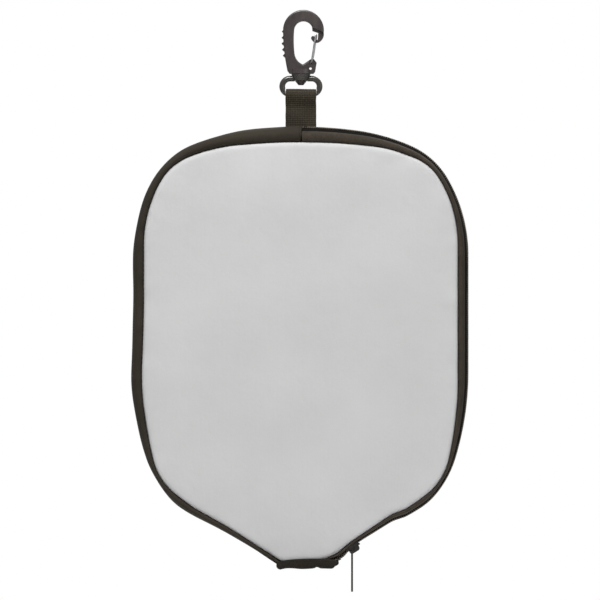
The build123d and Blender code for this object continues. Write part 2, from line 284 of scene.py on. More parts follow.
def grid(name, points, uvs, flip=False):
    """Sheet from an array of points (rows, columns, 3)."""
    rows, columns = points.shape[:2]
    corner = (np.arange(rows - 1)[:, None] * columns + np.arange(columns - 1)).ravel()
    faces = np.stack([corner, corner + 1, corner + columns + 1, corner + columns], axis=1)
    if flip:
        faces = faces[:, ::-1]
    return new_object(name, points.reshape(-1, 3), faces, uvs.reshape(-1, 2))


def tube_faces(rings, sides):
    """Faces of a tube of that many rings of points, with closed ends."""
    level = np.arange(rings - 1)[:, None] * sides
    here, after = np.arange(sides), (np.arange(sides) + 1) % sides
    skin = np.stack([level + here, level + after, level + sides + after, level + sides + here], axis=-1)
    last = (rings - 1) * sides
    return [*map(tuple, skin.reshape(-1, 4)), tuple(range(sides))[::-1], tuple(range(last, last + sides))]


def tube(name, path, outwards, radius, sides):
    """Round filament along a path, its ends closed; outwards is a direction off the path at each point."""
    tangent = np.gradient(path, axis=0)
    tangent /= np.linalg.norm(tangent, axis=1, keepdims=True)
    side = np.cross(tangent, outwards)
    side /= np.linalg.norm(side, axis=1, keepdims=True)
    up = np.cross(side, tangent)
    turn = np.linspace(0, 2 * pi, sides, endpoint=False)
    cosine, sine = np.cos(turn)[None, :, None], np.sin(turn)[None, :, None]
    rings = path[:, None] + radius * (cosine * side[:, None] + sine * up[:, None])
    uvs = np.stack(np.broadcast_arrays(lengths_along(path, 0)[:, None], turn[None] * radius), axis=-1)
    return new_object(name, rings.reshape(-1, 3), tube_faces(len(path), sides), uvs.reshape(-1, 2))


def stitches(name, centres, directions, outwards, length, radius=0.24 * mm, sides=6):
    """One piece of separate stitches: each a short length of thread whose ends dip into the cloth."""
    along = np.linspace(-1, 1, 7)
    swell = np.sqrt(np.clip(1 - along**6, 0, 1)) + 0.05
    turn = np.linspace(0, 2 * pi, sides, endpoint=False)
    directions = directions / np.linalg.norm(directions, axis=1, keepdims=True)
    across = np.cross(directions, outwards)
    across /= np.linalg.norm(across, axis=1, keepdims=True)
    outwards = np.cross(across, directions)
    run = along * length / 2
    core = centres[:, None] + directions[:, None] * run[None, :, None]
    core = core - outwards[:, None] * (along**4 * 0.5 * radius)[None, :, None]
    cosine, sine = np.cos(turn)[None, None, :, None], np.sin(turn)[None, None, :, None]
    ring = cosine * across[:, None, None] + sine * outwards[:, None, None]
    points = core[:, :, None] + ring * (swell * radius)[None, :, None, None]
    each = len(along) * sides
    one = tube_faces(len(along), sides)
    faces = [tuple(corner + i * each for corner in around) for i in range(len(centres)) for around in one]
    uvs = np.stack(np.broadcast_arrays(run[None, :, None], (turn * radius)[None, None, :]), axis=-1)
    uvs = np.broadcast_to(uvs, (len(centres), len(along), sides, 2))
    return new_object(name, points.reshape(-1, 3), faces, uvs.reshape(-1, 2))


# ---- materials
def shade(red, green, blue):
    """Linear colour of an sRGB one given from 0 to 255."""
    values = [v / 255 for v in (red, green, blue)]
    return (*(v / 12.92 if v <= 0.04045 else ((v + 0.055) / 1.055) ** 2.4 for v in values), 1.0)


class Finish:
    """A procedural material under construction."""

    def __init__(self, name, fixed):
        self.material = bpy.data.materials.new(name)
        self.material.use_nodes = True
        self.tree = self.material.node_tree
        self.shader = self.tree.nodes["Principled BSDF"]
        for socket, value in fixed.items():
            self.shader.inputs[socket].default_value = value

    def node(self, kind, inputs, output=0, **settings):
        """Add a node and return one of its outputs; inputs hold values or other nodes' outputs."""
        made = self.tree.nodes.new("ShaderNode" + kind)
        for key, value in settings.items():
            setattr(made, key, value)
        for socket, value in inputs.items():
            if isinstance(value, bpy.types.NodeSocket):
                self.tree.links.new(value, made.inputs[socket])
            else:
                made.inputs[socket].default_value = value
        return made.outputs[output]

    def math(self, operation, first, second=0.0):
        """Result of an operation on one or two values."""
        return self.node("Math", {0: first, 1: second}, operation=operation)

    def cloth_uv(self):
        """The cloth's own coordinates in metres: along it and across it."""
        position = self.node("UVMap", {}, uv_map="cloth")
        split = self.tree.nodes.new("ShaderNodeSeparateXYZ")
        self.tree.links.new(position, split.inputs[0])
        return split.outputs[0], split.outputs[1]

    def place(self):
        """The piece's own coordinates in metres."""
        return self.node("TexCoord", {}, output=3)

    def noise(self, size, detail=3.0, roughness=0.55, stretch=None):
        """Noise whose patches are about that size in metres."""
        where = self.place()
        if stretch:
            where = self.node("Mapping", {"Vector": where, "Scale": stretch})
        inputs = {"Vector": where, "Scale": 1 / size, "Detail": detail, "Roughness": roughness}
        return self.node("TexNoise", inputs)

    def mix(self, factor, first, second):
        """Blend of two colours."""
        return self.node("Mix", {0: factor, 6: first, 7: second}, output=2, data_type="RGBA")

    def span(self, value, low, high, from_low=0.0, from_high=1.0):
        """Map a value's range to another."""
        ranges = {"From Min": from_low, "From Max": from_high, "To Min": low, "To Max": high}
        return self.node("MapRange", {"Value": value, **ranges})

    def ribs(self, coordinate, pitch):
        """Rounded ribs, from 0 to 1, across a coordinate."""
        wave_at = self.math("SINE", self.math("MULTIPLY", coordinate, pi / pitch))
        return self.math("ABSOLUTE", wave_at)

    def weave(self, u, v, pitch_u, pitch_v):
        """Height of a plain weave."""
        first = self.math("SINE", self.math("MULTIPLY", u, pi / pitch_u))
        second = self.math("SINE", self.math("MULTIPLY", v, pi / pitch_v))
        over = self.math("GREATER_THAN", self.math("MULTIPLY", first, second), 0.0)
        warp = self.math("MULTIPLY", self.math("ABSOLUTE", first), over)
        weft = self.math("MULTIPLY", self.math("ABSOLUTE", second), self.math("SUBTRACT", 1.0, over))
        return self.math("ADD", warp, weft)

    def knit(self, u, v, wale, course):
        """Height of a fine jersey knit: columns of small Vs."""
        column = self.ribs(u, wale)
        slant = self.math("ADD", self.math("DIVIDE", v, course), self.math("MULTIPLY", column, 0.45))
        loops = self.span(self.math("SINE", self.math("MULTIPLY", slant, 2 * pi)), 0.55, 1.0, -1.0, 1.0)
        return self.math("MULTIPLY", self.math("POWER", column, 0.6), loops)

    def bump(self, height, distance, over=None):
        """Raise the surface by a height from 0 to 1; over is a bump to add it to."""
        inputs = {"Height": height, "Distance": distance, "Strength": 1.0}
        if over is not None:
            inputs["Normal"] = over
        return self.node("Bump", inputs)

    def done(self, colour, roughness=None, normal=None):
        """Connect what varies over the surface and return the material."""
        for socket, value in (("Base Color", colour), ("Roughness", roughness), ("Normal", normal)):
            if value is not None:
                self.tree.links.new(value, self.shader.inputs[socket])
        return self.material


def jersey(name, dark, light, wale, relief, fixed):
    """Knitted face of neoprene."""
    m = Finish(name, fixed)
    u, v = m.cloth_uv()
    knit = m.knit(u, v, wale, 0.8 * wale)
    patches = m.noise(55 * mm, 4.0)
    fibre = m.noise(0.9 * mm, 2.0)
    tone = m.math("ADD", m.math("MULTIPLY", patches, 0.7), m.math("MULTIPLY", fibre, 0.3))
    colour = m.mix(m.span(tone, 0.0, 1.0, 0.3, 0.7), dark, light)
    shadow = m.span(knit, 0.965, 1.0)
    grey = m.node("CombineColor", {0: shadow, 1: shadow, 2: shadow})
    colour = m.node("Mix", {0: 1.0, 6: colour, 7: grey}, output=2, data_type="RGBA", blend_type="MULTIPLY")
    cushion = m.bump(m.noise(9 * mm, 2.0), 0.25 * mm)
    return m.done(colour, m.span(fibre, 0.68, 0.88), m.bump(knit, relief, cushion))


def tape_weave(name, dark, light, pitch, relief, fixed, rib_only=False, yarn_gap_shade=0.45, worn_to=0.4,
               painted_shade_from=None):
    """Woven tape: a plain weave, or the cross ribs of grosgrain; yarn_gap_shade is the tone of the painted
    shade between the yarns.

    Further across it than painted_shade_from, the tape is painted black: painted shade for the dark line
    under the coil."""
    m = Finish(name, fixed)
    u, v = m.cloth_uv()
    height = m.ribs(u, pitch) if rib_only else m.weave(u, v, pitch, 0.8 * pitch)
    fibre = m.noise(1.2 * mm, 3.0)
    worn = m.noise(14 * mm, 3.0)
    # Painted shade: the colour is darkened where the weave lies low, between the yarns.
    tone = m.math("MULTIPLY", m.span(worn, worn_to, 1.0, 0.3, 0.7), m.span(height, yarn_gap_shade, 1.0))
    # Painted shade: far enough across, the tape's colour goes to black, standing in for the shade under the
    # coil.
    if painted_shade_from is not None:
        tone = m.math("MULTIPLY", tone, m.span(v, 1.0, 0.0, painted_shade_from, painted_shade_from + 0.4 * mm))
    colour = m.mix(m.math("MULTIPLY", tone, m.span(fibre, 0.7, 1.15, 0.3, 0.7)), dark, light)
    return m.done(colour, m.span(fibre, 0.62, 0.85), m.bump(height, relief))


def twisted(name, dark, light, fixed):
    """Sewing thread, twisted, with painted shade in the grooves of the twist."""
    m = Finish(name, fixed)
    u, v = m.cloth_uv()
    slant = m.math("ADD", m.math("DIVIDE", u, 0.5 * mm), m.math("DIVIDE", v, 0.5 * mm))
    ply = m.math("ABSOLUTE", m.math("SINE", m.math("MULTIPLY", slant, pi)))
    # Painted shade: the colour follows the twist, darker in its grooves and lighter on its crests.
    return m.done(m.mix(ply, dark, light), m.span(m.noise(1 * mm), 0.5, 0.75), m.bump(ply, 0.05 * mm))


def moulded(name, dark, light, fixed, rough=0.30):
    """Moulded plastic: flow mottling, a fine eroded grain and scuffs."""
    m = Finish(name, fixed)
    flow = m.noise(7 * mm, 3.0, stretch=(1.0, 1.0, 0.35))
    grain = m.noise(0.45 * mm, 2.0)
    scuff = m.span(m.noise(2.2 * mm, 6.0, 0.7, stretch=(1.0, 1.0, 3.0)), 0.0, 1.0, 0.58, 0.72)
    colour = m.mix(m.span(flow, 0.0, 0.8, 0.3, 0.7), dark, light)
    colour = m.mix(m.math("MULTIPLY", scuff, 0.25), colour, light)
    roughness = m.math("ADD", m.span(grain, rough, rough + 0.14), m.math("MULTIPLY", scuff, 0.16))
    return m.done(colour, roughness, m.bump(grain, 0.02 * mm, m.bump(flow, 0.10 * mm)))


def metal(name, dark, light, rough, fixed, drawn=(1.0, 1.0, 0.08)):
    """Drawn or plated metal, with fine lines along it and dull spots."""
    m = Finish(name, fixed)
    lines = m.noise(0.35 * mm, 3.0, stretch=drawn)
    dull = m.noise(3 * mm, 4.0)
    colour = m.mix(m.span(dull, 0.0, 1.0, 0.35, 0.65), dark, light)
    roughness = m.math("ADD", m.span(lines, rough, rough + 0.12), m.span(dull, 0.0, 0.10, 0.45, 0.7))
    return m.done(colour, roughness, m.bump(lines, 0.008 * mm))


cloth_shine = {"Specular IOR Level": 0.25, "Sheen Weight": 0.12, "Sheen Roughness": 0.5}
black_shine = {"Specular IOR Level": 0.12, "Sheen Weight": 0.02, "Sheen Roughness": 0.45}
steel_shine = {"Metallic": 1.0}
JERSEY_WALE = 0.85 * mm
WALL_WALE = 0.7 * mm
TAPE_PITCH = 0.7 * mm
GROSGRAIN_PITCH = 0.9 * mm
WEFT_PITCH = 1.4 * mm
PAINTED_SHADE_START = 8.9 * mm      # across the zip tape, where the painted shade under the coil starts

face_finish = jersey(
    "face_jersey", shade(186, 186, 186), shade(194, 194, 194), JERSEY_WALE, 0.022 * mm, cloth_shine
)
wall_finish = jersey(
    "wall_jersey", shade(42, 38, 31), shade(54, 49, 41), WALL_WALE, 0.05 * mm, black_shine
)
tape_finish = tape_weave(
    "zip_tape_weave", shade(10, 9, 7), shade(66, 59, 50), TAPE_PITCH, 0.07 * mm, black_shine,
    yarn_gap_shade=0.72, worn_to=0.7, painted_shade_from=PAINTED_SHADE_START
)
binding_finish = tape_weave(
    "binding_grosgrain", shade(24, 21, 17), shade(44, 39, 32), GROSGRAIN_PITCH, 0.10 * mm, black_shine,
    rib_only=True
)
webbing_finish = tape_weave(
    "strap_webbing", shade(8, 7, 5), shade(70, 64, 52), WEFT_PITCH, 0.05 * mm, black_shine,
    yarn_gap_shade=0.05, worn_to=0.8
)
thread_finish = twisted("sewing_thread", shade(16, 14, 11), shade(48, 43, 36), black_shine)
coil_finish = moulded(
    "coil_monofilament", shade(56, 50, 43), shade(122, 111, 96), {"Specular IOR Level": 0.5}
)
hook_finish = moulded("hook_acetal", shade(38, 32, 31), shade(66, 58, 57), {"Specular IOR Level": 0.7})
ring_finish = moulded(
    "ring_acetal", shade(36, 34, 29), shade(54, 51, 45), {"Specular IOR Level": 0.8}, rough=0.2
)
gate_finish = metal("gate_steel", shade(176, 176, 178), shade(214, 214, 216), 0.16, steel_shine)
spring_finish = metal("spring_steel", shade(150, 148, 144), shade(196, 194, 190), 0.22, steel_shine)
slider_finish = metal(
    "slider_black_zinc", shade(26, 24, 21), shade(52, 48, 43), 0.34, {"Metallic": 0.25},
    drawn=(1.0, 1.0, 1.0)
)


def coated(obj, material):
    """Give an object its only material."""
    obj.data.materials.clear()
    obj.data.materials.append(material)


def finished(obj, material):
    """Give a piece its material."""
    coated(obj, material)


# ---- faces
SHEET_FOOT = MOUTH + 2.0 * mm  # inside the binding
sheet_outline = Outline(FACE_TOP, FACE_RUNS, SHEET_FOOT, FACE_LET_OUT)
# Rings of points inside the seam: (inset in mm, how many of the seam's places apart).
RING_INSETS = ((0, 1), (0.5, 1), (1.1, 1), (1.8, 1), (2.7, 1), (3.9, 2), (5.6, 2), (8.0, 4), (11.5, 5))
EDGE_STEP = 1.0 * mm
INNER_STEP = 5.5 * mm
INNER_INSET = 14.5 * mm        # the even points inside the rings start this far from the seam
HELD_INSET = 3 * mm            # the cloth is held up to here
CLOTH_FRAMES = 20
CLOTH_SETTINGS = {
    "quality": 5,
    "mass": 0.25,
    "tension_stiffness": 30,
    "compression_stiffness": 30,
    "shear_stiffness": 15,
    "bending_stiffness": 6,
}
UNEVENNESS = 0.22 * mm
# Towards the mouth the faces come together by the pinch.
PINCH = 1.1 * mm
PINCH_START = MOUTH + 22 * mm
PINCH_EASE = 16 * mm


def closed_loop():
    """Points and outward normals round a face's seam, clockwise seen from the front."""
    right, normals = sheet_outline.trace(sheet_outline.stations(EDGE_STEP))
    half, level = right[-1]
    count = round(2 * half / EDGE_STEP)
    foot = np.stack([np.linspace(half, -half, count + 1)[1:-1], np.full(count - 1, level)], axis=1)
    down = np.tile([0.0, -1.0], (len(foot), 1))
    corner = normals[-1] + down[0]
    normals[-1] = corner / np.linalg.norm(corner) / cos(0.5 * np.arccos(normals[-1] @ down[0]))
    points = np.concatenate([right, foot, mirrored(right)[:0:-1]])
    outwards = np.concatenate([normals, down, mirrored(normals)[:0:-1]])
    return points, outwards


def face_layout():
    """Points of a flat face, its triangles, each point's inset from the seam and its distance along it."""
    loop, outwards = closed_loop()
    rings = [(loop - outwards * inset * mm)[::stride] for inset, stride in RING_INSETS]
    reach = np.abs(loop).max() + INNER_STEP
    xs = np.arange(-reach, reach, INNER_STEP)
    inner = np.array([
        (x + (row % 2) * INNER_STEP / 2, z)
        for row, z in enumerate(np.arange(-reach, 0, INNER_STEP * sin(pi / 3)))
        for x in xs
    ])
    far = np.linalg.norm(inner[:, None] - loop[None, ::3], axis=2).min(axis=1) > INNER_INSET
    low, high = loop.min(axis=0), loop.max(axis=0)
    boxed = ((inner > low) & (inner < high)).all(axis=1)
    candidates = inner[far & boxed]
    inside = [inside_loop(p, loop) for p in candidates]
    points = np.concatenate(rings + [candidates[inside]])
    edges = [(i, (i + 1) % len(loop)) for i in range(len(loop))]
    whole = [list(range(len(loop)))]
    verts, _, faces, *_ = delaunay_2d_cdt([Vector(p) for p in points], edges, whole, 1, 1e-7)
    verts = np.array([tuple(v) for v in verts])
    turned = signed_areas(verts, faces) < 0
    faces = [f[::-1] if over else f for f, over in zip(faces, turned)]
    gap = np.linalg.norm(verts[:, None] - loop[None], axis=2)
    nearest = gap.argmin(axis=1)
    return verts, [tuple(f) for f in faces], gap.min(axis=1), nearest * EDGE_STEP


def signed_areas(points, triangles):
    """Areas of flat triangles, below 0 where their corners run clockwise."""
    a, b, c = (points[[corners[i] for corners in triangles]] for i in range(3))
    return ((b - a)[:, 0] * (c - a)[:, 1] - (b - a)[:, 1] * (c - a)[:, 0]) / 2


def inside_loop(point, loop):
    """Whether a point is inside a closed loop of points."""
    after = np.roll(loop, -1, axis=0)
    crosses = (loop[:, 1] > point[1]) != (after[:, 1] > point[1])
    rise = np.where(crosses, after[:, 1] - loop[:, 1], 1.0)
    at = loop[:, 0] + (point[1] - loop[:, 1]) * (after[:, 0] - loop[:, 0]) / rise
    return bool(np.count_nonzero(crosses & (point[0] < at)) % 2)


def slack(points, faces, inset, push):
    """How far cloth simulation fills out each point of a sheet held along its seam, from 0 to 1."""
    sheet = new_object("slack_sheet", with_depth(points, 0.0), faces)
    held = sheet.vertex_groups.new(name="held")
    held.add(np.flatnonzero(inset < HELD_INSET).tolist(), 1.0, "REPLACE")
    cloth = sheet.modifiers.new("cloth", "CLOTH")
    cloth.settings.vertex_group_mass = "held"
    for setting, value in CLOTH_SETTINGS.items():
        setattr(cloth.settings, setting, value)
    cloth.settings.use_pressure = True
    cloth.settings.uniform_pressure_force = push
    cloth.settings.effector_weights.gravity = 0
    cloth.collision_settings.use_collision = False
    for number in range(1, CLOTH_FRAMES + 1):
        bpy.context.scene.frame_set(number)
    evaluated = sheet.evaluated_get(bpy.context.evaluated_depsgraph_get())
    moved = np.empty(len(points) * 3, np.float32)
    evaluated.data.vertices.foreach_get("co", moved)
    bpy.context.scene.frame_set(1)
    mesh = sheet.data
    bpy.data.objects.remove(sheet)
    bpy.data.meshes.remove(mesh)
    height = np.abs(moved.reshape(-1, 3)[:, 1])
    return height / max(height.max(), 1e-6)


def rolled(inset):
    """How far a face has dropped towards its seam at an inset."""
    share = np.clip(1 - inset / EDGE_ROLL, 0, 1)
    return EDGE_DROP * (1 - np.sqrt(1 - share**2))


def puckers(distance, inset, seed):
    """Relief along a sewn seam: a small dip at each stitch and slow unevenness between them."""
    dips = stitch_dips(distance) * hump(inset, 2.2 * mm)
    uneven = UNEVENNESS * wave(distance, 11 * mm, 34 * mm, seed) * hump(inset, 9 * mm)
    return dips + uneven


flat_points, flat_faces, flat_inset, flat_along = face_layout()
pinched = PINCH * smooth_step((PINCH_START - flat_points[:, 1]) / PINCH_EASE)


def build_face(name, side, node, seed, push):
    """One face of the case; side is -1 for the front and 1 for the back."""
    filled = CROWN * slack(flat_points, flat_faces, flat_inset, push)
    x, z = flat_points.T
    across_it = wave(x + 0.4 * z, 60 * mm, 130 * mm, seed)
    down_it = wave(z - 0.3 * x, 50 * mm, 120 * mm, seed + 1)
    uneven = UNEVENNESS * (across_it + down_it) * smooth_step(flat_inset / (20 * mm))
    sunk = rolled(flat_inset) + puckers(flat_along, flat_inset, seed + 2) + pinched
    depth = HALF_DEPTH - sunk + filled + uneven
    points = settled(with_depth(flat_points, CASE_Y + side * depth))
    faces = flat_faces if side < 0 else [f[::-1] for f in flat_faces]
    piece = new_object(name, points, faces, flat_points)
    thickened(piece, PANEL_THICKNESS - 0.2 * mm, -1)
    finished(piece, face_finish)
    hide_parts(node)
    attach(piece, "case")


build_face("front_face", -1, "front_panel", seed=11, push=3.0)
build_face("back_face", 1, "back_panel", seed=23, push=3.6)


# ---- wall and zip tapes
BAND_STEP = 1.0 * mm
MIDDLE_SHARE = 0.36            # where a band stands proudest, as a share of its width from the seam
WALL_SECTION = 37              # points across the wall
TAPE_SECTION = 34
MEASURED_ROW = 60              # a row on the curved top; a band's flat width is measured there
SMOOTHED = 9                   # places that a running mean takes in
SEAM_STEP = 0.05 * mm
rim_points, rim_normals = rim.trace(rim.stations(BAND_STEP))
seam_points = face.trace(face.stations(SEAM_STEP))[0]
seam_points = np.array([seam_points[((seam_points - p) ** 2).sum(axis=1).argmin()] for p in rim_points])
padded_seam = np.pad(seam_points, ((SMOOTHED // 2, SMOOTHED // 2), (0, 0)), mode="edge")
kernel = np.ones(SMOOTHED) / SMOOTHED
seam_points = np.stack([np.convolve(line, kernel, mode="valid") for line in padded_seam.T], axis=1)
rim_along = lengths_along(rim_points, 0)


def wall_section(count):
    """The wall's section from the front seam to the back one: share of the band's width, and depth."""
    place = np.linspace(-1, 1, count)
    crest = 0.8
    squareness = 2 / 2.3
    tuck = EDGE_DROP * 1.25
    beyond = np.clip((np.abs(place) - crest) / (1 - crest), 0, 1) * pi / 2
    angle = np.clip(np.abs(place) / crest, 0, 1) * pi / 2
    share = np.where(
        np.abs(place) > crest,
        MIDDLE_SHARE * (1 - np.sin(beyond)),
        MIDDLE_SHARE + (1 - MIDDLE_SHARE) * np.cos(angle) ** squareness,
    )
    depth = np.sin(angle) ** squareness * HALF_DEPTH - tuck * (1 - np.cos(beyond))
    return share, np.sign(place) * depth


def band_points(share, depth, mirror, inset=0.0):
    """Points over the band between seam and rim: a row for each station, a column for each section point."""
    edge = rim_points - rim_normals * inset
    base = mirrored(seam_points) if mirror else seam_points
    edge = mirrored(edge) if mirror else edge
    plan = base[:, None] + (edge - base)[:, None] * share[None, :, None]
    return with_depth(plan, CASE_Y + depth[None])


def strip_uvs(along, across):
    """Cloth coordinates of a strip, from each row's distance along it and each point's distance across it."""
    return np.stack([np.broadcast_to(along[:, None], across.shape), across], axis=2)


# How the wall's end is rounded off.
END_NARROWING = 0.955
END_DROP = 0.45 * mm
END_ROLL = 0.35 * mm


def build_wall():
    """Neoprene wall: a soft tube-like band from the zip's start round the left-hand side to the mouth."""
    share, depth = wall_section(WALL_SECTION)
    points = band_points(share, depth, mirror=True)
    near_seam = np.abs(depth)[None] / HALF_DEPTH * hump(share[None], 0.30)
    dips = stitch_dips(rim_along)[:, None] * near_seam
    creases = 0.28 * mm * wave(rim_along, 7 * mm, 19 * mm, 41)[:, None] * hump(share[None] - 0.25, 0.28)
    slow = 0.35 * mm * wave(rim_along, 40 * mm, 110 * mm, 43)[:, None] * share[None]
    points[..., 1] -= np.sign(depth)[None] * (dips + creases)
    outward = with_depth(mirrored(rim_normals), 0.0)
    points += outward[:, None] * slow[..., None]
    turned = points[0].copy()
    turned[:, 1] = CASE_Y + (turned[:, 1] - CASE_Y) * END_NARROWING
    turned[:, 2] -= END_DROP * share
    start = [turned + [WALL_END, 0, 0], points[0] + [WALL_END - END_ROLL, 0, 0]]
    points = settled(np.concatenate([np.stack(start), points]))
    along = np.concatenate([[-2 * BAND_STEP, -BAND_STEP], rim_along])
    piece = grid("wall", points, strip_uvs(along, lengths_along(points, 1)))
    thickened(piece, WALL_THICKNESS, -1)
    finished(piece, wall_finish)
    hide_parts("side_gusset")
    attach(piece, "case")
    return points


wall_points = build_wall()

TAPE_PROFILE = (                # share of the band's width, distance from the middle plane in mm
    (0.00, 7.6), (0.09, 9.3), (0.32, 9.8), (0.58, 9.1), (0.75, 7.7), (0.81, 6.3),
    (0.74, 5.2), (0.78, 4.4), (0.93, 3.7), (1.00, 2.9), (1.00, 0.6),
)
TAPE_START = -0.2 * mm
COIL_SEAT = 1.6 * mm           # the tape's fold stops this far inside the rim


def build_tape(name, side, node):
    """Zip tape: from the seam over a soft fold to the edge of the slit, under the coil."""
    profile = through(TAPE_PROFILE, TAPE_SECTION)
    share, depth = profile[:, 0], side * profile[:, 1] * mm
    points = band_points(share, depth, mirror=False, inset=COIL_SEAT)
    dips = stitch_dips(rim_along)[:, None] * hump(share[None], 0.25)
    uneven = 0.16 * mm * wave(rim_along, 8 * mm, 24 * mm, 51 + side)
    creases = uneven[:, None] * hump(share[None] - 0.35, 0.25)
    points[..., 1] -= side * (dips + creases)
    points[0, :, 0] += TAPE_START
    across = lengths_along(points, 1)
    section = float(across[MEASURED_ROW, -1])
    across = across * section / across[:, -1:]
    piece = grid(name, settled(points), strip_uvs(rim_along, across), flip=side < 0)
    thickened(piece, TAPE_THICKNESS, -1)
    finished(piece, tape_finish)
    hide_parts(node)
    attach(piece, "case")


build_tape("zip_tape_f", -1, "zip_tape_front")
build_tape("zip_tape_b", 1, "zip_tape_back")


# ---- coil
COIL_START, COIL_END_GAP = 1.1 * mm, 2.4 * mm
TURN_POINTS = 12
HEAD_REACH = 0.45 * mm         # how far the turns' heads reach past the middle plane
CORD_RADIUS = 0.62 * mm
CORD_STEP = 1.5 * mm
CORD_PLACE = 1.55 * mm         # from the middle plane
CORD_SINK = 0.55               # of the coil's height


def along_chain(step):
    """Distances, points (x, z) and outward normals along the zip's chain."""
    travelled = np.arange(COIL_START, rim_along[-1] - COIL_END_GAP, step)
    return travelled, sampled(travelled, rim_along, rim_points), sampled(travelled, rim_along, rim_normals)


def build_cord(name, side):
    """Filler cord that runs inside a half's coil."""
    _, centre, outward = along_chain(CORD_STEP)
    plan = centre - outward * COIL_HEIGHT * CORD_SINK
    path = settled(with_depth(plan, CASE_Y + side * CORD_PLACE))
    piece = tube(name, path, with_depth(outward, 0.0), CORD_RADIUS, sides=10)
    finished(piece, thread_finish)
    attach(piece, "case")


def build_coil(name, side, node):
    """One half of the zip's coil: a flattened helix whose heads lock between the other half's."""
    travelled, centre, outward = along_chain(COIL_PITCH / TURN_POINTS)
    turn = 2 * pi * travelled / COIL_PITCH + (pi if side > 0 else 0)
    outer, inner = COIL_HALF_WIDTH - MONOFILAMENT, -HEAD_REACH
    reach, middle = (outer - inner) / 2, (outer + inner) / 2
    across = middle + reach * np.cos(turn)
    lift = (COIL_HEIGHT / 2 - MONOFILAMENT) * np.sin(turn)
    plan = centre + outward * (lift - COIL_HEIGHT / 2)[:, None]
    path = settled(with_depth(plan, CASE_Y + side * across))
    off_axis = with_depth(outward * np.sin(turn)[:, None], side * np.cos(turn))
    piece = tube(name, path, off_axis, MONOFILAMENT, sides=6)
    finished(piece, coil_finish)
    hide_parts(node)
    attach(piece, "case")


build_coil("zip_coil_f", -1, "zip_coil_front")
build_coil("zip_coil_b", 1, "zip_coil_back")
build_cord("zip_cord_f", -1)
build_cord("zip_cord_b", 1)


# ---- seam tape inside
SEAM_TAPE_INSET = 1.8 * mm     # of its middle line
SEAM_TAPE_HALF_WIDTH = 1.5 * mm
SEAM_TAPE_CURL = 0.25 * mm
SEAM_TAPE_THICKNESS = 0.6 * mm


def build_seam_tape(name, side, node):
    """Flat tape that covers the seam inside the pocket."""
    low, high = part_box(node)
    inner = (low.y if side < 0 else high.y) - CASE_Y
    right, normals = face.trace(face.stations(2 * mm))
    keep = right[:, 1] > BINDING_TOP + 3 * mm
    right, normals = right[keep], normals[keep]
    line = np.concatenate([mirrored(right)[:0:-1], right])
    outwards = np.concatenate([mirrored(normals)[:0:-1], normals])
    across = np.linspace(-1, 1, 7)
    inset = SEAM_TAPE_INSET + SEAM_TAPE_HALF_WIDTH * across
    plan = line[:, None] - outwards[:, None] * inset[None, :, None]
    curl = SEAM_TAPE_CURL * (1 - across**2)
    points = settled(with_depth(plan, CASE_Y + inner - side * curl[None]))
    uvs = np.stack([lengths_along(points, 0), lengths_along(points, 1)], axis=2)
    piece = grid(name, points, uvs, flip=side < 0)
    thickened(piece, SEAM_TAPE_THICKNESS, 1)
    finished(piece, binding_finish)
    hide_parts(node)
    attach(piece, "case")


build_seam_tape("seam_tape_f", -1, "seam_binding_front")
build_seam_tape("seam_tape_b", 1, "seam_binding_back")


# ---- mouth bindings
LEFT_END, RIGHT_END = -15.7 * mm, 24.2 * mm
BINDING_THICKNESS = 0.9 * mm
BINDING_PROUD = 0.45 * mm
FOLD_RADIUS = 1.95 * mm
END_RADIUS = 3.0 * mm
END_RETURN = 1.6 * mm
HEM_SHORTER = 0.8 * mm         # how much lower the inner leg ends
BINDING_ROWS = 150
LEG_POINTS = 8
FOLD_POINTS = 11
# Bumps of the lower edge, in mm: x, half width and height.
LOWER_BUMPS = ((10.5, 1.5, 0.9), (-14, 2.6, -0.45))


def binding_path(distance, straight):
    """Place and outward direction (x, y) along a binding whose ends turn in round the mouth's corners."""
    corner = END_RADIUS * pi / 2
    over = np.clip(np.abs(distance) - straight, 0, corner) / END_RADIUS
    back = np.clip(np.abs(distance) - straight - corner, 0, None)
    sign = np.sign(distance)
    x = sign * (np.minimum(np.abs(distance), straight) + END_RADIUS * np.sin(over))
    y = END_RADIUS * (1 - np.cos(over)) + back
    outward = np.stack([sign * np.sin(over), -np.cos(over)], axis=1)
    return np.stack([x, y], axis=1), outward


